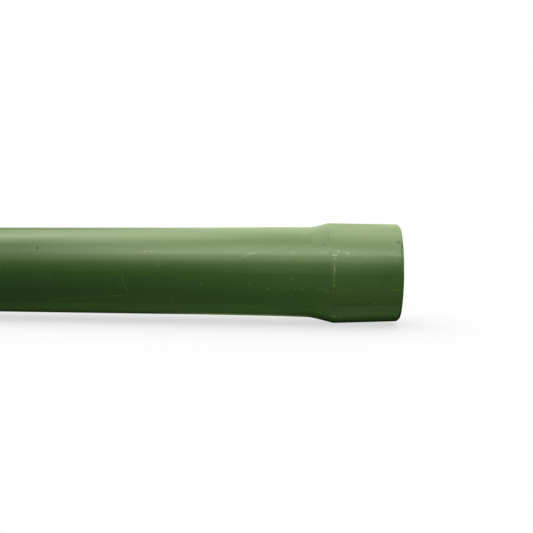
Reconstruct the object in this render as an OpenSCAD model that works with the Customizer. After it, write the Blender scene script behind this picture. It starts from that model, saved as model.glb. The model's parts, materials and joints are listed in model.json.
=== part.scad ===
// Rigid PVC electrical conduit, one length with a bell formed at one end.
// The pipe lies along X on level ground, plain end at -X and bell at +X.
// The origin is on the ground, midway along the length and under the axis.

/* [Pipe] */
// Outside diameter of the pipe
pipe_od = 114.3; // [60:0.1:170]
// Thickness of the pipe's wall
pipe_wall = 6; // [3.5:0.1:10]
// Overall length, bell included
overall_length = 3048; // [1000:1:6100]

/* [Bell] */
// Depth of the straight socket, from its mouth to where a spigot stops
socket_depth = 84; // [40:1:160]
// Gap all round between a spigot and the socket
socket_gap = 0.25; // [0.1:0.05:0.5]
// Thickness of the bell's wall at its shoulder
bell_shoulder_wall = 6.75; // [4:0.05:10]
// Thickness of the bell's wall at its mouth
bell_mouth_wall = 4.3; // [3.5:0.1:8]
// Slope of the cone that joins the pipe to the bell, in degrees
cone_angle = 14; // [8:1:24]
// How much the pipe's radius has grown where the cone starts
flare_rise = 0.6; // [0.1:0.1:1.5]
// Length of pipe over which it grows
flare_length = 135; // [50:1:250]

/* [Edges] */
// Radius outside, where the pipe bends up into the cone
neck_radius = 28; // [10:1:50]
// Radius outside, where the cone bends over into the bell
shoulder_radius = 12; // [10.5:0.5:25]
// Length along the pipe of the saw's chamfer on both ends
chamfer_length = 3.2; // [1:0.1:8]
// Depth into the wall of the saw's chamfer on both ends
chamfer_depth = 2.7; // [1:0.1:2.8]
// Size of the small break on both inner edges
inner_break = 0.5; // [0.2:0.1:0.6]

/* [Hidden] */

// Facets around the pipe, and the widest turn that one step of an arc takes
round_facets = 180;
arc_step = 2.5;

// Radii of the pipe and of the socket that takes a spigot of the same pipe
pipe_r = pipe_od / 2;
bore_r = pipe_r - pipe_wall;
socket_r = pipe_r + socket_gap;
shoulder_r = socket_r + bell_shoulder_wall;
mouth_r = socket_r + bell_mouth_wall;

// Radii where the cone starts, outside and inside
neck_r = pipe_r + flare_rise;
neck_bore_r = bore_r + flare_rise;

// Places along the pipe
mouth_x = overall_length / 2;
plain_x = -overall_length / 2;
stop_x = mouth_x - socket_depth;
shoulder_x = stop_x - bell_shoulder_wall * tan(cone_angle / 2);
neck_x = shoulder_x - (shoulder_r - neck_r) / tan(cone_angle);
neck_bore_x = stop_x - (socket_r - neck_bore_r) / tan(cone_angle);
flare_x = neck_x - flare_length;
flare_bore_x = neck_bore_x - flare_length;

// Each corner is [place along the pipe, distance from the axis, rounding radius]
outside = [
    [plain_x, pipe_r - chamfer_depth, 0],
    [plain_x + chamfer_length, pipe_r, 0],
    [flare_x, pipe_r, 0],
    [neck_x, neck_r, neck_radius],
    [shoulder_x, shoulder_r, shoulder_radius],
    [mouth_x - chamfer_length, mouth_r, 0],
    [mouth_x, mouth_r - chamfer_depth, 0],
];
inside = [
    [mouth_x, socket_r + inner_break, 0],
    [mouth_x - inner_break, socket_r, 0],
    [stop_x, socket_r, shoulder_radius - bell_shoulder_wall],
    [neck_bore_x, neck_bore_r, neck_radius + pipe_wall],
    [flare_bore_x, bore_r, 0],
    [plain_x + inner_break, bore_r, 0],
    [plain_x, bore_r + inner_break, 0],
];

function toward(from, to) = (to - from) / norm(to - from);
function flat(corner) = [corner.x, corner.y];

// Points of the arc that rounds one corner and touches both of its sides
function corner_arc(before, at, after, radius) =
    let (
        back = toward(at, before),
        ahead = toward(at, after),
        half_turn = acos(back * ahead) / 2,
        centre = at + toward([0, 0], back + ahead) * radius / sin(half_turn),
        start = at + back * radius / tan(half_turn) - centre,
        sweep = 180 - 2 * half_turn,
        side = sign(back.x * ahead.y - back.y * ahead.x),
        steps = ceil(sweep / arc_step),
        from = atan2(start.y, start.x)
    )
    [for (i = [0:steps]) let (a = from - side * sweep * i / steps)
        centre + radius * [cos(a), sin(a)]];

// The closed outline with its corners rounded
function rounded(corners) =
    let (count = len(corners))
    [for (i = [0:count - 1])
        let (
            before = flat(corners[(i + count - 1) % count]),
            at = flat(corners[i]),
            after = flat(corners[(i + 1) % count]),
            radius = corners[i][2]
        )
        each radius > 0 ? corner_arc(before, at, after, radius) : [at]];

// The wall's outline, and its crest at the shoulder, where the bell rests on the ground
outline = rounded(concat(outside, inside));
crest_r = max([for (p = outline) p.y]);

// Half section of the wall: x is the distance from the axis, y runs along the pipe
module wall_section()
    polygon([for (p = outline) [p.y, p.x]]);

module conduit()
    color("#3f5a2e")
        translate([0, 0, crest_r])
            rotate([0, 90, 0])
                rotate_extrude($fn = round_facets) wall_section();

conduit();
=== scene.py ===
import bpy
import json
from math import acos, atan2, ceil, cos, degrees, pi, radians, sin, tan
from mathutils import Matrix, Vector


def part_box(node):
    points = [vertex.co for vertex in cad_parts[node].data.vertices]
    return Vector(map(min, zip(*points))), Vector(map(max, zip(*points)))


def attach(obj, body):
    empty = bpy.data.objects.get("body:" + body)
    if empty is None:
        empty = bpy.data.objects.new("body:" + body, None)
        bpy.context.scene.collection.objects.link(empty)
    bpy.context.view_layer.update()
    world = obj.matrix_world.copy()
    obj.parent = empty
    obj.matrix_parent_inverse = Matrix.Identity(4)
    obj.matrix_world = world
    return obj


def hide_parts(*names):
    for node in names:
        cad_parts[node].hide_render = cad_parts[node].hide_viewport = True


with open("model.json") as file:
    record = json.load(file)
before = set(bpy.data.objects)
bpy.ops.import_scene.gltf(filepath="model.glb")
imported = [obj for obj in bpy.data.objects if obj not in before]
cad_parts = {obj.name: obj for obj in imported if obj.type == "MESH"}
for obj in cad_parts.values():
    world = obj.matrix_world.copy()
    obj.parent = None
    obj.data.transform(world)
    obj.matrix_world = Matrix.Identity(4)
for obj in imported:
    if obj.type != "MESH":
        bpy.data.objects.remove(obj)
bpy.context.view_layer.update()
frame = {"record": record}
scene = bpy.context.scene
scene.view_settings.view_transform = "Standard"
mm = 0.001

mounts = {m["name"]: m for m in frame["record"]["mounts"]}
low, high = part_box("conduit")
axisHeight = mounts["socket"]["pos_m"][2]
pipeRadius = mounts["spigot"]["dims"]["r_mm"] * mm
boreRadius = mounts["wire_bore"]["dims"]["r_mm"] * mm
socketRadius = mounts["socket"]["dims"]["r_mm"] * mm
print("frame read: pipe radius", pipeRadius, "axis height", axisHeight)


shot = {
    "beforeMouth": 0.0905,   # metres back from the mouth, along the pipe
    "away": 0.7856,          # metres in front of the axis
    "aboveAxis": 0.0469,
    "turnLeft": 5.719,       # degrees
    "tipDown": 2.83,
    "roll": 0.13,
    "lens": 40.97,           # millimetres
    "sensor": 36,
    "clip": (0.01, 200),     # metres
}


def setCamera():
    data = bpy.data.cameras.new("camera")
    data.lens = shot["lens"]
    data.sensor_width = shot["sensor"]
    data.clip_start, data.clip_end = shot["clip"]
    camera = bpy.data.objects.new("camera", data)
    scene.collection.objects.link(camera)
    place = Vector((high.x - shot["beforeMouth"], -shot["away"], axisHeight + shot["aboveAxis"]))
    turn = Matrix.Rotation(radians(shot["turnLeft"]), 4, "Z")
    tip = Matrix.Rotation(radians(90 - shot["tipDown"]), 4, "X")
    roll = Matrix.Rotation(radians(shot["roll"]), 4, "Z")
    camera.matrix_world = Matrix.Translation(place) @ turn @ tip @ roll
    scene.camera = camera


setCamera()
print("camera set")


conduitShape = {
    "innerBreak": 0.5,       # millimetres from here on
    "chamferLong": 3.2,
    "chamferDeep": 2.7,
    "bellShoulderWall": 6.75,
    "bellMouthWall": 4.3,
    "flareRise": 0.6,
    "coneAngle": 14,         # degrees
    "neckRound": 28,
    "shoulderRound": 12,
    "neckSoft": 50,          # outside, the neck is softer and a little fuller, the shoulder crisper
    "neckFuller": 0.3,
    "shoulderCrisp": 8,
    "shoulderLonger": 1.1,   # and this much farther back
    "edgeRound": 0.35,       # worn corners of the chamfers
    "sidesAround": 240,
    "ringEvery": 60,         # longest step between rings
    "arcStep": 1.2,          # degrees of turn for each step of a bend, and of a worn corner
    "cornerStep": 12,
}


def cornerArc(before, at, after, radius, arcStep):
    back = (Vector(before) - Vector(at)).normalized()
    ahead = (Vector(after) - Vector(at)).normalized()
    halfTurn = acos(max(-1, min(1, back.dot(ahead)))) / 2
    middle = Vector(at) + (back + ahead).normalized() * (radius / sin(halfTurn))
    first = Vector(at) + back * (radius / tan(halfTurn)) - middle
    sweep = pi - 2 * halfTurn
    side = 1 if back.x * ahead.y - back.y * ahead.x > 0 else -1
    steps = max(2, ceil(degrees(sweep) / arcStep))
    start = atan2(first.y, first.x)
    turns = [start - side * sweep * i / steps for i in range(steps + 1)]
    return [middle + radius * Vector((cos(a), sin(a))) for a in turns]


def outline(corners, longest):
    # rounds the corners of a closed outline, then splits its long straight runs
    points = []
    for i, (x, r, rounding) in enumerate(corners):
        before, after = corners[i - 1][:2], corners[(i + 1) % len(corners)][:2]
        step = conduitShape["arcStep" if rounding > 2 * mm else "cornerStep"]
        points += cornerArc(before, (x, r), after, rounding, step) if rounding else [Vector((x, r))]
    split = []
    for i, p in enumerate(points):
        q = points[(i + 1) % len(points)]
        parts = ceil((q - p).length / longest)
        split += [p.lerp(q, j / parts) for j in range(parts)]
    return split


def conduitOutline():
    s = {k: v * mm for k, v in conduitShape.items()}
    slope = radians(conduitShape["coneAngle"])
    plainX, mouthX = low.x, high.x
    shoulderRadius = socketRadius + s["bellShoulderWall"]
    mouthRadius = socketRadius + s["bellMouthWall"]
    socketEnd = mouthX - s["innerBreak"]
    stopRound = s["shoulderRound"] - s["bellShoulderWall"]
    stopX = socketEnd - mounts["socket"]["dims"]["length_mm"] * mm - stopRound * tan(slope / 2)
    flareX = plainX + s["chamferLong"] + mounts["spigot"]["dims"]["length_mm"] * mm
    flareBoreX = plainX + s["innerBreak"] + mounts["wire_bore"]["dims"]["length_mm"] * mm
    neckRadius, neckBoreRadius = pipeRadius + s["flareRise"], boreRadius + s["flareRise"]
    shoulderX = stopX - s["bellShoulderWall"] * tan(slope / 2) - s["shoulderLonger"]
    fullNeck = neckRadius + s["neckFuller"]
    neckX = shoulderX - (shoulderRadius - fullNeck) / tan(slope)
    neckBoreX = stopX - (socketRadius - neckBoreRadius) / tan(slope)
    worn = s["edgeRound"]
    corners = [
        (plainX, pipeRadius - s["chamferDeep"], worn),
        (plainX + s["chamferLong"], pipeRadius, worn),
        (flareX, pipeRadius, 0),
        (neckX, fullNeck, s["neckSoft"]),
        (shoulderX, shoulderRadius, s["shoulderCrisp"]),
        (mouthX - s["chamferLong"], mouthRadius, worn),
        (mouthX, mouthRadius - s["chamferDeep"], worn),
        (mouthX, socketRadius + s["innerBreak"], worn / 2),
        (socketEnd, socketRadius, worn / 2),
        (stopX, socketRadius, stopRound),
        (neckBoreX, neckBoreRadius, s["neckRound"] + pipeRadius - boreRadius),
        (flareBoreX, boreRadius, 0),
        (plainX + s["innerBreak"], boreRadius, worn / 2),
        (plainX, boreRadius + s["innerBreak"], worn / 2),
    ]
    return outline(corners, s["ringEvery"])


# a formed bell is never quite true to its pipe: about a millimetre here
bellSet = {
    "sagFrom": 132,          # millimetres back from the mouth
    "shoulderBack": 82.2,
    "pipeHigh": 1.32,        # the pipe where the sag starts stands this much higher than the shoulder
    "mouthHigh": 1.12,       # and the mouth this much
    "leanFrom": 115,         # between these the rings lean back at the top, the shoulder's most
    "leanUntil": 20,
    "slant": 4,
}


def between(value, start, end):
    return max(0, min(1, (value - start) / (end - start)))


def settled(x, r, a):
    # x along the pipe, r out from its axis, a the turn round it
    s = {k: v * mm for k, v in bellSet.items()}
    sag, shoulder = high.x - s["sagFrom"], high.x - s["shoulderBack"]
    if x < sag:
        lift = s["pipeHigh"] * between(x, low.x, sag)
    elif x < shoulder:
        lift = s["pipeHigh"] * (1 - between(x, sag, shoulder))
    else:
        lift = s["mouthHigh"] * between(x, shoulder, high.x)
    lean = min(between(x, high.x - s["leanFrom"], shoulder), between(x, high.x - s["leanUntil"], shoulder))
    return (x - s["slant"] * lean * sin(a), -r * cos(a), axisHeight + r * sin(a) + lift)


# the tube unrolled into strips: where each starts along the outline, in metres, and its height on the map
strips = [(0, 0.19), (1.26, 0.19), (2.53, 0.4), (3.055, 0.06), (3.575, 0.045), (4.84, 0.045)]
stripGap = 0.01
stripInset = 0.005


def unrolled(points, sides):
    # the bell gets the most room, and the seam is at the back
    ends = [0]
    for p, q in zip(points, points[1:] + points[:1]):
        ends.append(ends[-1] + (q - p).length)
    starts = [min(ends[:-1], key=lambda e: abs(e - start)) for start, height in strips] + [ends[-1]]
    places = []
    strip, bottom = 0, stripGap
    for i in range(len(points)):
        if ends[i] == starts[strip + 1]:
            bottom += strips[strip][1] + stripGap
            strip += 1
        span = (starts[strip + 1] - starts[strip]) / (1 - 2 * stripInset)
        u, v = [stripInset + (e - starts[strip]) / span for e in ends[i:i + 2]]
        for k in range(sides):
            turn = (k + sides // 2) % sides
            a, b = [bottom + strips[strip][1] * t / sides for t in (turn, turn + 1)]
            places += [(u, a), (u, b), (v, b), (v, a)]
    return places


def turnedTube(name, points, sides):
    # the angle is 0 level towards the front and grows upwards
    verts, faces = [], []
    for p in points:
        verts += [settled(p.x, p.y, 2 * pi * k / sides) for k in range(sides)]
    count = len(points)
    for i in range(count):
        j = (i + 1) % count
        for k in range(sides):
            m = (k + 1) % sides
            faces.append((i * sides + k, i * sides + m, j * sides + m, j * sides + k))
    mesh = bpy.data.meshes.new(name)
    mesh.from_pydata(verts, [], faces)
    mesh.update()
    for face in mesh.polygons:
        face.use_smooth = True
    mapped = mesh.uv_layers.new(name="OFBake")
    mapped.uv.foreach_set("vector", [c for place in unrolled(points, sides) for c in place])
    tube = bpy.data.objects.new(name, mesh)
    scene.collection.objects.link(tube)
    return tube


conduit = turnedTube("belledConduit", conduitOutline(), conduitShape["sidesAround"])
print("conduit turned:", len(conduit.data.polygons), "faces")


def node(tree, kind, **settings):
    made = tree.nodes.new(kind)
    for key, value in settings.items():
        setattr(made, key, value)
    return made


def feed(tree, socket, value):
    # a plain number or colour is set on the socket, another socket is linked to it
    if value is None:
        return
    if isinstance(value, bpy.types.NodeSocket):
        tree.links.new(value, socket)
    else:
        socket.default_value = value


def sums(tree, operation, a, b=None, c=None):
    made = node(tree, "ShaderNodeMath", operation=operation)
    for socket, value in zip(made.inputs, (a, b, c)):
        feed(tree, socket, value)
    return made.outputs[0]


def rerange(tree, value, fromLow, fromHigh, toLow=0, toHigh=1, kind="SMOOTHSTEP"):
    made = node(tree, "ShaderNodeMapRange", interpolation_type=kind)
    for socket, setting in zip(made.inputs, (value, fromLow, fromHigh, toLow, toHigh)):
        feed(tree, socket, setting)
    return made.outputs[0]


def split(tree, vector):
    made = node(tree, "ShaderNodeSeparateXYZ")
    tree.links.new(vector, made.inputs[0])
    return made.outputs


def blendColours(tree, amount, a, b):
    made = node(tree, "ShaderNodeMix", data_type="RGBA")
    feed(tree, made.inputs[0], amount)
    for socket, colour in zip((made.inputs[6], made.inputs[7]), (a, b)):
        feed(tree, socket, colour)
    return made.outputs[2]


def mixed(tree, amount, a, b):
    made = node(tree, "ShaderNodeMix", data_type="FLOAT")
    for socket, value in zip((made.inputs[0], made.inputs[2], made.inputs[3]), (amount, a, b)):
        feed(tree, socket, value)
    return made.outputs[0]


def grey(level):
    return (level, level, level, 1)


def levelsAlong(tree, value, levels):
    # straight steps from one level to the next
    (start, level), *rest = levels
    for end, nextLevel in rest:
        level = mixed(tree, rerange(tree, value, start, end, kind="LINEAR"), level, nextLevel)
        start = end
    return level


greenPvc = {
    "colour": (0.045, 0.118, 0.024),
    "roughness": 0.15,
    "ior": 1.68,
    "shineTint": (0.85, 1.0, 0.84),
    "scratched": (0.34, 0.6, 0.09),   # freshly scored plastic
    "whitened": (0.48, 0.67, 0.49),   # chalky scuffs
    "cut": (0.075, 0.16, 0.048),      # sawn ends
    "inside": (0.06, 0.125, 0.04),    # dusty bore
    "dieLines": 0.07,                 # how much the colour varies across the fine lines along it
    "mottle": 0.05,
    "darkMarksDarken": 0.9,
    "mottleRoughens": 0.04,
    "roughens": {"scratched": 1.5, "whitened": 0.8, "smudgedAndShaded": 1.4, "inside": 0.2, "cut": 0.3},
    "peelDepth": 0.003,               # millimetres, from here on
    "dieDepth": 0.0012,
    "sawDepth": 0.05,
    "chalkDepth": 0.12,
    "darkMarkDepth": -0.06,
    "sawnFacing": (0.7, 0.95),        # how squarely a sawn face looks along the pipe
    "boreFacing": (5, -5),            # and the bore towards its axis, times its radius
}
# each texture: how fine it is in a millimetre, its detail, its stretch
textures = {
    "dieLines": (0.55, 3, (0.006, 1, 1)),
    "mottle": (0.07, 3, (0.5, 1, 1)),
    "grain": (0.75, 2, (1, 1, 1)),
    "peel": (0.22, 2, (0.6, 1, 1)),
    "wander": (0.09, 3, (1, 1, 1)),
    "gaps": (0.3, 2, (1, 1, 1)),
    "patches": (0.018, 2, (0.5, 1, 1)),
    "saw": (0.9, 1, (1, 0.03, 1)),
}
# every mark: millimetres back from the mouth, degrees up round the front, half its length and
# half its width in millimetres, degrees that it slants, strength
# first the scratches, then small nicks, chalky patches and the chalky dots and dashes in them
scratches = [
    (342.5, -6.5, 6.5, 1.2, 69, 0.1), (340.2, -16, 9.5, 1.2, 77, 0.09), (338.6, -28, 8, 1.1, 90, 0.075),
    (352, -29.2, 19, 1.1, -5, 0.1), (375, -31.2, 17, 1, -7, 0.075), (397.5, -33.8, 5, 1.1, 0, 0.1),
    (427.5, -35.5, 20, 1, -5, 0.065), (308, -38.5, 3, 1, 0, 0.08), (283, -36.3, 4.5, 1.1, -14, 0.09),
    (99.5, -15.4, 6, 0.9, 4, 0.1), (92.5, -16.6, 4.5, 1.1, 26, 0.12), (89.3, -18.2, 1.7, 1.3, 0, 0.15),
    (69, -15, 15, 0.9, 0, 0.075), (8, -15, 8, 0.9, 0, 0.15), (99.5, -50.8, 5, 1.2, 16, 0.14),
    (82, -53, 5, 1.5, 23, 0.25), (74, -58, 5, 1.2, 35, 0.12), (183, -45, 16, 1, 0, 0.05),
    (131, -44.2, 10, 1, 9, 0.06), (106, -50, 18, 1.1, 12, 0.06), (458, 56, 6, 0.8, 0, 0.1),
    (436, 42, 8, 0.8, -16, 0.08), (418, 41.3, 11, 0.8, 12, 0.06), (137, -17, 6, 0.9, 5, 0.06),
    (118.6, -15.2, 4, 1.1, -20, 0.095),
]
flecks = [
    (132.4, -4.7, 2.6, 1.1, 62, 0.1), (104.3, -4.2, 1.9, 1.1, 90, 0.05), (184.9, -12, 2, 1.5, 0, 0.1),
    (161.8, -17, 2.2, 1.3, 0, 0.175), (129, -17.1, 2, 1.4, 0, 0.14), (244.2, -11.6, 1.6, 1.8, 0, 0.125),
    (262.4, -56, 1.6, 1.4, 0, 0.06), (18.9, -40.5, 1.6, 1.6, 0, 0.1), (33.9, -31.7, 1.4, 1.4, 0, 0.14),
    (59.5, -26.2, 1.8, 1.3, 0, 0.08), (398.6, 7.2, 5, 5, 0, 0.014), (353.5, 5, 6, 5, 0, 0.012),
    (324.3, 6.5, 4.5, 5, 0, 0.02), (298, 12.9, 4.5, 6, 0, 0.04), (264, 8.2, 5, 5, 0, 0.016),
    (220.5, 10.9, 5.5, 6, 0, 0.016), (367.5, -16, 5, 3, 0, 0.016), (348, -15.3, 3.5, 4, 0, 0.018),
    (315.4, 0, 3, 3, 0, 0.02), (300, -7, 8, 4, 30, 0.012), (43, -9, 16, 5, 0, 0.012),
    (456, -16, 5, 3, 0, 0.014),
]
scuffs = [
    (78, 28.5, 6, 2.6, 0, 0.26), (80, 23.2, 4, 1.9, 0, 0.22), (66.5, 27.3, 4, 2.6, 0, 0.24),
    (60, 26, 52, 7, 0, 0.1), (14, 26.5, 12, 4.5, 0, 0.1), (97, 26.5, 9, 4.5, 0, 0.15),
    (184, 26.8, 11, 2.6, -17, 0.2), (134, 28.5, 9, 3, 0, 0.16), (150, 27, 65, 4.5, 0, 0.07),
    (88.9, 17, 1.8, 7, 0, 0.08), (86, 48, 3, 4, 0, 0.05),
]
specks = [
    (83, 22.8, 1.8, 1.1, 0, 0.48), (79.6, 22.5, 1.6, 1.1, 0, 0.4), (81.2, 22.6, 3.2, 1, 0, 0.26),
    (80.7, 19.2, 1.6, 1.1, 0, 0.3), (76.8, 27.5, 3.2, 1, -26, 0.34), (77.5, 27.2, 1.4, 1, 0, 0.46),
    (81.9, 27.2, 1.3, 1, 0, 0.17), (67.4, 25.3, 2.8, 1, 20, 0.42), (66.2, 25, 1.4, 1, 0, 0.5),
    (70.2, 26.8, 2.2, 0.8, 25, 0.2), (59.4, 27.6, 1.3, 1, 0, 0.16), (96.6, 24, 2, 0.8, -60, 0.14),
    (93.8, 23.6, 2.6, 0.8, 65, 0.2), (91, 25.2, 2.6, 0.8, 60, 0.22), (88.4, 22.4, 2.4, 0.8, -70, 0.17),
    (45.3, 26.7, 1, 3.6, 0, 0.12), (44.2, 20.9, 1, 1.6, 0, 0.11), (23.4, 25.8, 2.6, 1, 24, 0.11),
    (19.8, 28, 2.4, 1, 14, 0.13), (15, 25.1, 3.2, 1, 30, 0.15), (9.4, 23.2, 3.6, 1, 24, 0.15),
    (12.2, 28, 1.8, 1.2, 20, 0.11), (4.8, 24.2, 1.8, 1.3, 50, 0.12), (1.2, 27, 1.7, 9, 0, 0.2),
    (82, 33, 9, 0.6, -4, 0.05), (131.2, 27.4, 1.6, 0.9, 30, 0.26), (134.8, 26.1, 1.6, 0.9, 0, 0.2),
    (129.9, 24.8, 1.5, 0.9, -40, 0.17), (184.9, 25.9, 1.6, 1.1, 0, 0.34),
    (182.4, 25.9, 1.5, 1, 20, 0.26), (189.7, 23.2, 2.4, 1, -20, 0.17), (178.8, 27.2, 1.6, 0.9, 0, 0.2),
    (181.3, 28.6, 1.5, 0.9, 0, 0.15), (307.9, 29.6, 1.7, 1.1, 0, 0.44),
    (316.6, 28.4, 1.6, 1, -20, 0.32), (314.2, 29.4, 1.4, 1, 0, 0.3), (304, 29.6, 1.5, 1, 0, 0.22),
    (296.4, 29.6, 1.5, 0.9, 0, 0.12),
]
# matt dirt, and on the cone, near 94 and 99 back, painted shade: a darker band across the cone's shine, with
# a smudge in it
smudgesAndConeShade = [
    (456.7, 33.3, 2, 1.6, 0, 0.9), (464.5, 34.5, 3.5, 2.5, 0, 0.3), (99, 37, 14, 2.6, 0, 0.22),
    (94, 36.3, 4.5, 2.6, 0, 0.3), (46, 37.5, 35, 0.9, 0, 0.16), (14, 37.2, 6, 2, 0, 0.16),
    (5.4, 40.1, 5, 3.4, 0, 0.36),
]
# dark stains low down, where there is little shine to lose
stains = [
    (314.7, 17.2, 11, 1.6, 0, 0.16), (278, 17, 17, 1.4, 0, 0.1), (169, 20.5, 28, 1.4, -5, 0.14),
    (190, 19.5, 5, 1.8, 0, 0.25), (431, -1.6, 7, 1.6, -51, 0.2), (80.1, -40.5, 2, 2.8, 0, 0.4),
    (82.5, -36.9, 1.7, 1.6, 0, 0.4), (290, -51.5, 3.5, 2.5, 0, 0.15), (422.6, -41.4, 1.6, 1.5, 0, 0.2),
    (63.5, -8, 9, 5, 0, 0.05), (20, -1.5, 9, 10, 0, 0.07),
]
shoulderRub = {
    "back": 81.9,            # a rubbed line round the shoulder, chalky above and bare below
    "halfWide": (0.3, 1.7),
    "wander": 1.6,
    "gaps": (0.42, 0.66, 0.08, 1.0),
    "levels": [(-40, 0.0), (-26, 0.02), (-17, 0.04), (-15, 0.24), (-8, 0.24), (-6.5, 0.21), (-5, 0.2),
               (-3, 0.22), (0, 0.23), (8, 0.26), (10, 0.14), (13, 0.03), (20, 0.0)],
    "chalkyFrom": (-7, 0),
}
# the textures show through the marks
markGrain = {
    "softEdge": (0.35, 1.1),   # in half sizes of the mark
    "carry": 10000,            # so great that what a mark carries along doesn't move it
    "broken": (0.36, 0.54, 0.6, 1.0),
    "speckled": (0.44, 0.66),
}
# light wear of no particular shape, beyond the marks above
wear = {
    "backFrom": (480, 540),
    "roundFrom": (94, 110),
    "patches": (0.46, 0.7),
    "strength": 0.16,
}


def noise(tree, place, scale, detail, stretch):
    moved = node(tree, "ShaderNodeMapping")
    feed(tree, moved.inputs["Vector"], place)
    moved.inputs["Scale"].default_value = stretch
    made = node(tree, "ShaderNodeTexNoise")
    feed(tree, made.inputs["Vector"], moved.outputs[0])
    made.inputs["Scale"].default_value = scale
    made.inputs["Detail"].default_value = detail
    return made.outputs["Fac"]


def marked(tree, back, up, rows, total=0.0):
    # the strongest of a list of soft-edged oval marks; each waits for the one before it and carries
    # its level along, which keeps the renderer's stack short
    for markBack, markUp, halfLong, halfWide, slant, strength in rows:
        joined = node(tree, "ShaderNodeCombineXYZ")
        for socket, value in zip(joined.inputs, (back, up, total)):
            feed(tree, socket, value)
        placed = node(tree, "ShaderNodeMapping", vector_type="TEXTURE")
        feed(tree, placed.inputs["Vector"], joined.outputs[0])
        placed.inputs["Location"].default_value = (markBack, markUp, 0)
        placed.inputs["Rotation"].default_value = (0, 0, radians(slant))
        placed.inputs["Scale"].default_value = (halfLong, halfWide, markGrain["carry"])
        away = node(tree, "ShaderNodeVectorMath", operation="LENGTH")
        feed(tree, away.inputs[0], placed.outputs[0])
        level = rerange(tree, away.outputs["Value"], *markGrain["softEdge"], strength, 0)
        total = sums(tree, "MAXIMUM", level, total)
    return total


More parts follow.
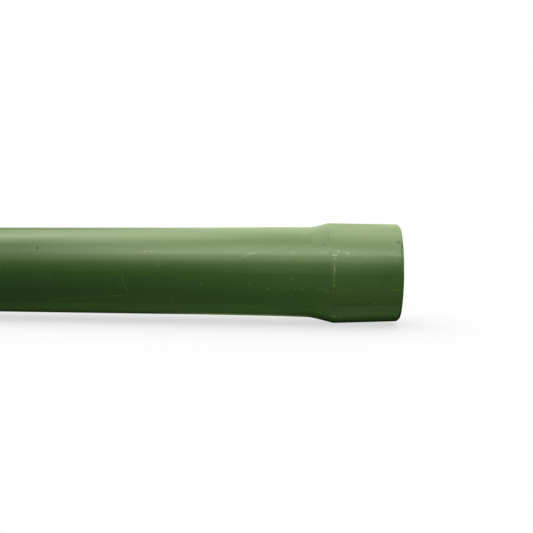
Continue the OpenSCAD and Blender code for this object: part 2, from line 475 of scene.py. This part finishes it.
def pvcMaterial():
    material = bpy.data.materials.new("greenPvc")
    material.use_nodes = True
    tree = material.node_tree
    shader = tree.nodes["Principled BSDF"]
    shader.inputs["IOR"].default_value = greenPvc["ior"]
    shader.inputs["Specular Tint"].default_value = (*greenPvc["shineTint"], 1)

    # millimetres from the middle of the mouth, then back along the pipe and up round it
    shifted = node(tree, "ShaderNodeVectorMath", operation="SUBTRACT")
    feed(tree, shifted.inputs[0], node(tree, "ShaderNodeTexCoord").outputs["Object"])
    feed(tree, shifted.inputs[1], (high.x, 0, axisHeight))
    scaled = node(tree, "ShaderNodeVectorMath", operation="SCALE")
    feed(tree, scaled.inputs[0], shifted.outputs[0])
    feed(tree, scaled.inputs["Scale"], 1 / mm)
    place = scaled.outputs[0]
    at = split(tree, place)
    back = sums(tree, "MULTIPLY", at["X"], -1.0)
    front = sums(tree, "MULTIPLY", at["Y"], -1.0)
    up = sums(tree, "MULTIPLY", sums(tree, "ARCTAN2", at["Z"], front), 180 / pi)

    # sawn ends face along the pipe, the bore faces its axis
    faces = split(tree, node(tree, "ShaderNodeNewGeometry").outputs["Normal"])
    sawn = rerange(tree, sums(tree, "ABSOLUTE", faces["X"]), *greenPvc["sawnFacing"])
    outward = sums(tree, "ADD", sums(tree, "MULTIPLY", faces["Y"], at["Y"]),
                   sums(tree, "MULTIPLY", faces["Z"], at["Z"]))
    inside = sums(tree, "MULTIPLY", rerange(tree, outward, *greenPvc["boreFacing"]),
                  sums(tree, "SUBTRACT", 1.0, sawn))

    dieLines = noise(tree, place, *textures["dieLines"])
    mottle = noise(tree, place, *textures["mottle"])
    grain = noise(tree, place, *textures["grain"])
    peel = noise(tree, place, *textures["peel"])

    # marks of use
    broken = rerange(tree, grain, *markGrain["broken"])
    scored = sums(tree, "MULTIPLY", marked(tree, back, up, scratches + flecks), broken)
    speckled = rerange(tree, grain, *markGrain["speckled"])
    chalked = sums(tree, "MULTIPLY", marked(tree, back, up, scuffs), speckled)
    chalked = marked(tree, back, up, specks, chalked)

    # the rubbed line wanders a little and has gaps
    wander = sums(tree, "SUBTRACT", noise(tree, place, *textures["wander"]), 0.5)
    wander = sums(tree, "MULTIPLY", wander, shoulderRub["wander"] * 2)
    offLine = sums(tree, "SUBTRACT", sums(tree, "ADD", back, wander), shoulderRub["back"])
    rubbed = rerange(tree, sums(tree, "ABSOLUTE", offLine), *shoulderRub["halfWide"], 1, 0)
    rubbed = sums(tree, "MULTIPLY", rubbed, levelsAlong(tree, up, shoulderRub["levels"]))
    gaps = rerange(tree, noise(tree, place, *textures["gaps"]), *shoulderRub["gaps"])
    rubbed = sums(tree, "MULTIPLY", rubbed, gaps)
    chalky = rerange(tree, up, *shoulderRub["chalkyFrom"])
    chalked = sums(tree, "MAXIMUM", chalked, sums(tree, "MULTIPLY", rubbed, chalky))
    bare = sums(tree, "SUBTRACT", 1.0, chalky)
    scored = sums(tree, "MAXIMUM", scored, sums(tree, "MULTIPLY", rubbed, bare))
    # matt dirt, and the painted shade across the cone
    dulled = marked(tree, back, up, smudgesAndConeShade)
    darkened = marked(tree, back, up, stains, dulled)

    beyond = sums(tree, "MAXIMUM", rerange(tree, back, *wear["backFrom"]),
                  rerange(tree, sums(tree, "ABSOLUTE", up), *wear["roundFrom"]))
    patches = rerange(tree, noise(tree, place, *textures["patches"]), *wear["patches"])
    worn = sums(tree, "MULTIPLY", sums(tree, "MULTIPLY", beyond, patches), speckled)
    chalked = sums(tree, "MAXIMUM", chalked, sums(tree, "MULTIPLY", worn, wear["strength"]))

    # colour
    tone = sums(tree, "MULTIPLY_ADD", dieLines, greenPvc["dieLines"], 1 - greenPvc["dieLines"] / 2)
    mottled = sums(tree, "MULTIPLY_ADD", mottle, greenPvc["mottle"], 1 - greenPvc["mottle"] / 2)
    tone = sums(tree, "MULTIPLY", tone, mottled)
    # darker where the stains, the dirt and the painted shade on the cone lie
    tone = sums(tree, "MULTIPLY", tone, sums(tree, "MULTIPLY_ADD", darkened, -greenPvc["darkMarksDarken"], 1.0))
    toned = node(tree, "ShaderNodeVectorMath", operation="SCALE")
    feed(tree, toned.inputs[0], greenPvc["colour"])
    feed(tree, toned.inputs["Scale"], tone)
    colour = toned.outputs[0]
    where = {"scratched": scored, "whitened": chalked, "inside": inside, "cut": sawn}
    for name, amount in where.items():
        colour = blendColours(tree, amount, colour, (*greenPvc[name], 1))
    feed(tree, shader.inputs["Base Color"], colour)

    # shine
    where["smudgedAndShaded"] = dulled
    rough = sums(tree, "MULTIPLY_ADD", mottle, greenPvc["mottleRoughens"],
                 greenPvc["roughness"] - greenPvc["mottleRoughens"] / 2)
    for name, more in greenPvc["roughens"].items():
        rough = sums(tree, "MULTIPLY_ADD", where[name], more, rough)
    feed(tree, shader.inputs["Roughness"], rough)

    # relief, in millimetres
    sawLines = sums(tree, "MULTIPLY", noise(tree, place, *textures["saw"]), sawn)
    relief = sums(tree, "MULTIPLY", peel, greenPvc["peelDepth"])
    relief = sums(tree, "MULTIPLY_ADD", dieLines, greenPvc["dieDepth"], relief)
    relief = sums(tree, "MULTIPLY_ADD", sawLines, greenPvc["sawDepth"], relief)
    chalk = sums(tree, "MULTIPLY", grain, greenPvc["chalkDepth"])
    relief = sums(tree, "MULTIPLY_ADD", chalked, chalk, relief)
    relief = sums(tree, "MULTIPLY_ADD", darkened, greenPvc["darkMarkDepth"], relief)
    bump = node(tree, "ShaderNodeBump")
    bump.inputs["Strength"].default_value = 1
    bump.inputs["Distance"].default_value = mm
    feed(tree, bump.inputs["Height"], relief)
    feed(tree, shader.inputs["Normal"], bump.outputs[0])
    return material


conduit.data.materials.append(pvcMaterial())
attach(conduit, "root")
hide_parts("conduit")
print("material made")


tent = {
    "reach": 0.3,            # metres from the axis to its side, and up to its top
    "height": 0.9,
    "halfLength": 2.2,
    "steps": 90,
    # what the shine mirrors: degrees up from level on the near side, over the top and
    # down to the far side, then the brightness of the cloth there
    "bands": [(-10, 0.0), (-2, 0.12), (4, 0.17), (15, 0.3), (24, 0.67), (28, 1.08), (34, 1.9), (41, 2.1),
              (45, 3.4), (52, 3.75), (57, 3.3), (66, 2.75), (74, 2.6), (84, 2.95), (96, 3.1), (106, 3.0),
              (115, 2.4), (130, 1.6), (150, 0.8), (180, 0.6)],
    "most": 4.5,
    # how much of that there is at distances along the pipe, by angle
    "reaches": (0.66, 0.8, 0.95, 1.1, 1.22, 1.34, 1.5, 1.6),
    "shares": [
        (6, (0.25, 0.28, 0.6, 0.7, 0.52, 1.45, 1.0, 0.5)),
        (20, (0.25, 0.28, 0.6, 0.82, 0.92, 1.02, 0.97, 0.6)),
        (48, (0.24, 0.3, 0.56, 0.85, 0.98, 0.93, 0.88, 0.8)),
        (67, (0.2, 0.53, 0.78, 0.96, 1.08, 1.05, 0.91, 0.92)),
        (84, (0.62, 0.83, 0.85, 0.81, 0.7, 0.63, 0.93, 0.94)),
        (104, (0.95, 0.95, 0.98, 0.93, 0.83, 0.66, 1.04, 0.99)),
        (122, (0.45, 0.8, 0.9, 0.96, 0.97, 0.97, 1.2, 1.03)),
        (140, (0.32, 0.4, 0.56, 0.82, 1.05, 1.13, 1.05, 1.35)),
    ],
    # and its colour
    "tints": [(-4, (1.04, 1.02, 0.98)), (10, (1.06, 1.02, 0.92)), (20, (1.16, 1.03, 0.74)),
              (30, (1.12, 1.03, 0.81)), (47, (1.08, 1.0, 0.88)), (75, (1.11, 0.99, 0.83)),
              (108, (1.09, 1.01, 0.85)), (130, (1.06, 1.05, 0.84)), (145, (1.02, 1.15, 0.76))],
    "mostTint": 1.25,
    "bellLower": 4.5,        # degrees its bands lie lower over the bell
    "bellFrom": (1.38, 1.46),
}
studio = {
    # the soft light itself: degrees as above, then the brightness
    "sky": [(-5, 0.0), (25, 0.2), (35, 0.95), (50, 2.0), (62, 2.75), (80, 2.4), (100, 2.6), (115, 2.6),
            (135, 2.0), (155, 1.4), (180, 0.8)],
    "most": 4.0,
    "ends": 0.3,             # its two ends are darker
    "endsFrom": (0.5, 0.85),
    "tint": (1.1, 1.0, 0.88),
    "paper": (0.181, 0.199, 0.226),   # cool enough to look neutral in this light
    "paperGlow": 0.65,
    # painted reflection: what the pipe's shine sees of the floor, glowing patches on a floor that is black
    # to the shine:
    # the front of it, a strip creeping in under the pipe, and the same for the bell; each with its levels
    # across the floor and along the pipe
    "front": {"across": [(-0.9, 0.0), (-0.5, 1.0), (-0.12, 1.0), (-0.085, 0.3), (-0.05, 0.3), (-0.04, 0.0)],
              "along": [(1.0, 0.06), (1.29, 0.06), (1.38, 0.13), (1.42, 0.13), (1.44, 0.0)]},
    "strip": {"across": [(-0.046, 0.0), (-0.04, 0.09), (-0.022, 0.1), (-0.006, 0.04)],
              "along": [(0.98, 0.7), (1.2, 1.0), (1.36, 1.12), (1.43, 0.0)]},
    "belled": {"across": [(-0.9, 0.0), (-0.5, 0.13), (-0.2, 0.18), (-0.075, 0.15), (-0.067, 0.05),
                          (-0.06, 0.05), (-0.054, 0.2), (-0.036, 0.2), (-0.026, 0.0)],
               "along": [(1.4, 0.0), (1.45, 1.0)]},
    "beneath": {"across": [(-0.009, 0.0), (-0.004, 0.34), (0.03, 0.4)],
                "along": [(1.2, 0.0), (1.26, 0.7), (1.3, 1.0), (1.37, 1.0), (1.4, 0.7), (1.415, 0.0)]},
    "tintFar": (0.12, 0.32, 1.0),     # the front of it, well away from the bell
    "farUntil": (1.28, 1.37),
    "tintFront": (0.68, 1.0, 0.75),
    "tintUnder": (0.65, 1.0, 0.35),
    "underFrom": (-0.09, -0.05),
    "tintBelled": (0.8, 0.93, 0.48),
    "lift": [(0.95, 0.53), (1.25, 0.62)],   # soft light from the paper under and behind the pipe
    "liftFrom": (-0.14, -0.05),
    "paleFrom": (0.03, 0.08),
    "floorHalf": 60,
}
# one weak lamp that lights the conduit alone; metres
fillLamp = {
    "beforeMouth": 0.1,
    "away": 0.40,
    "height": 0.14,
    "size": 0.3,
    "power": 0.5,
    "colour": (1.0, 0.78, 0.85),
    "aimBeforeMouth": 0.04,
}


def turnRound(tree, way):
    # 0 to 1 round the pipe's axis, 0.5 level on the near side
    angle = sums(tree, "ARCTAN2", way["Z"], sums(tree, "MULTIPLY", way["Y"], -1.0))
    return sums(tree, "MULTIPLY_ADD", angle, 1 / (2 * pi), 0.5)


def bandRamp(tree, turn, bands, most):
    # brightnesses, or colours, by degrees round the axis
    ramp = node(tree, "ShaderNodeValToRGB")
    feed(tree, ramp.inputs[0], turn)
    stops = ramp.color_ramp.elements
    stops.remove(stops[-1])
    for i, (up, level) in enumerate(bands):
        stop = stops.new(0.5 + up / 360) if i else stops[0]
        stop.position = 0.5 + up / 360
        stop.color = (*(c / most for c in level), 1) if isinstance(level, tuple) else grey(level / most)
    return ramp.outputs[0]


def setTent():
    # a half round of light that only the shine sees
    verts, faces = [], []
    steps = tent["steps"]
    for i in range(steps + 1):
        a = pi * i / steps
        for x in (-tent["halfLength"], tent["halfLength"]):
            verts.append((x, -tent["reach"] * cos(a), axisHeight + tent["height"] * sin(a)))
    for i in range(steps):
        faces.append((2 * i, 2 * i + 1, 2 * i + 3, 2 * i + 2))
    mesh = bpy.data.meshes.new("lightTent")
    mesh.from_pydata(verts, [], faces)
    cover = bpy.data.objects.new("lightTent", mesh)
    scene.collection.objects.link(cover)
    material = bpy.data.materials.new("tentCloth")
    material.use_nodes = True
    tree = material.node_tree
    tree.nodes.clear()
    lifted = node(tree, "ShaderNodeVectorMath", operation="SUBTRACT")
    feed(tree, lifted.inputs[0], node(tree, "ShaderNodeTexCoord").outputs["Object"])
    feed(tree, lifted.inputs[1], (0, 0, axisHeight))
    place = split(tree, lifted.outputs[0])
    turn = turnRound(tree, place)
    lower = rerange(tree, place["X"], *tent["bellFrom"], 0, tent["bellLower"] / 360)
    lit = bandRamp(tree, sums(tree, "ADD", turn, lower), tent["bands"], tent["most"])
    (lastUp, shares), *rest = tent["shares"]
    left = levelsAlong(tree, place["X"], list(zip(tent["reaches"], shares)))
    for up, shares in rest:
        share = levelsAlong(tree, place["X"], list(zip(tent["reaches"], shares)))
        left = mixed(tree, rerange(tree, turn, 0.5 + lastUp / 360, 0.5 + up / 360), left, share)
        lastUp = up
    lit = sums(tree, "MULTIPLY", lit, left)
    glow = node(tree, "ShaderNodeEmission")
    feed(tree, glow.inputs["Color"], bandRamp(tree, turn, tent["tints"], tent["mostTint"]))
    feed(tree, glow.inputs["Strength"], sums(tree, "MULTIPLY", lit, tent["most"] * tent["mostTint"]))
    tree.links.new(glow.outputs[0], node(tree, "ShaderNodeOutputMaterial").inputs[0])
    material.cycles.emission_sampling = "NONE"
    cover.data.materials.append(material)
    cover.visible_camera = cover.visible_diffuse = cover.visible_shadow = False
    cover.visible_transmission = cover.visible_volume_scatter = False


def setWorld():
    world = bpy.data.worlds.new("softSky")
    scene.world = world
    world.use_nodes = True
    tree = world.node_tree
    tree.nodes.clear()
    way = split(tree, node(tree, "ShaderNodeTexCoord").outputs["Generated"])
    lit = bandRamp(tree, turnRound(tree, way), studio["sky"], studio["most"])
    rays = node(tree, "ShaderNodeLightPath").outputs
    seen = rays["Is Camera Ray"]
    ends = rerange(tree, sums(tree, "ABSOLUTE", way["X"]), *studio["endsFrom"], studio["most"],
                   studio["most"] * studio["ends"])
    bright = sums(tree, "MULTIPLY", lit, ends)
    light = node(tree, "ShaderNodeBackground")
    feed(tree, light.inputs["Color"], blendColours(tree, seen, (*studio["tint"], 1), grey(1)))
    feed(tree, light.inputs["Strength"], mixed(tree, seen, bright, 1.0))
    tree.links.new(light.outputs[0], node(tree, "ShaderNodeOutputWorld").inputs[0])


def setFloor():
    half = studio["floorHalf"]
    mesh = bpy.data.meshes.new("paperFloor")
    corners = [(-half, -half, 0), (half, -half, 0), (half, half, 0), (-half, half, 0)]
    mesh.from_pydata(corners, [], [(0, 1, 2, 3)])
    floor = bpy.data.objects.new("paperFloor", mesh)
    scene.collection.objects.link(floor)
    material = bpy.data.materials.new("palePaperWithPaintedReflection")
    material.use_nodes = True
    tree = material.node_tree
    shader = tree.nodes["Principled BSDF"]
    shader.inputs["Specular IOR Level"].default_value = 0
    shader.inputs["Roughness"].default_value = 1
    rays = node(tree, "ShaderNodeLightPath").outputs
    place = split(tree, node(tree, "ShaderNodeTexCoord").outputs["Object"])
    mirror = sums(tree, "MAXIMUM", rays["Is Glossy Ray"], rays["Is Transmission Ray"])
    behind = rerange(tree, place["Y"], *studio["paleFrom"])
    pale = sums(tree, "MAXIMUM", rays["Is Camera Ray"], sums(tree, "MULTIPLY", mirror, behind))
    # to the shine the floor in front of the pipe is black, a painted dark reflection; to the camera, and to
    # the shine behind the pipe, it is the paper
    feed(tree, shader.inputs["Base Color"], blendColours(tree, pale, grey(0), (*studio["paper"], 1)))
    mirrored = sums(tree, "MAXIMUM", sums(tree, "SUBTRACT", mirror, pale), 0)
    patches = [sums(tree, "MULTIPLY", levelsAlong(tree, place["X"], studio[k]["along"]),
                    levelsAlong(tree, place["Y"], studio[k]["across"]))
               for k in ("front", "strip", "beneath", "belled")]
    tint = blendColours(tree, rerange(tree, place["X"], *studio["farUntil"]), (*studio["tintFar"], 1),
                        (*studio["tintFront"], 1))
    tint = blendColours(tree, rerange(tree, place["Y"], *studio["underFrom"]), tint,
                        (*studio["tintUnder"], 1))
    lift = sums(tree, "MULTIPLY", rerange(tree, place["Y"], *studio["liftFrom"]),
                levelsAlong(tree, place["X"], studio["lift"]))
    tint = blendColours(tree, rerange(tree, place["X"], *tent["bellFrom"]), tint, (*studio["tintBelled"], 1))
    glow = sums(tree, "MULTIPLY", rays["Is Diffuse Ray"], lift)
    # glowing patches that only the shine sees: a painted reflection of lit floor
    for patch in patches:
        glow = sums(tree, "MULTIPLY_ADD", mirrored, patch, glow)
    glow = sums(tree, "MULTIPLY_ADD", pale, studio["paperGlow"], glow)
    feed(tree, shader.inputs["Emission Color"], blendColours(tree, mirrored, grey(1), tint))
    feed(tree, shader.inputs["Emission Strength"], glow)
    floor.data.materials.append(material)


def setFill():
    data = bpy.data.lights.new("fillLamp", "AREA")
    data.size = fillLamp["size"]
    data.energy = fillLamp["power"]
    data.color = fillLamp["colour"]
    lamp = bpy.data.objects.new("fillLamp", data)
    scene.collection.objects.link(lamp)
    place = Vector((high.x - fillLamp["beforeMouth"], -fillLamp["away"], fillLamp["height"]))
    target = Vector((high.x - fillLamp["aimBeforeMouth"], 0, axisHeight))
    aimed = (target - place).to_track_quat("-Z", "Y").to_matrix().to_4x4()
    lamp.matrix_world = Matrix.Translation(place) @ aimed
    lamp.visible_camera = False
    lamp.visible_glossy = False
    lit = bpy.data.collections.new("litByFill")
    lit.objects.link(conduit)
    lamp.light_linking.receiver_collection = lit


setWorld()
setTent()
setFloor()
setFill()
print("studio lit")
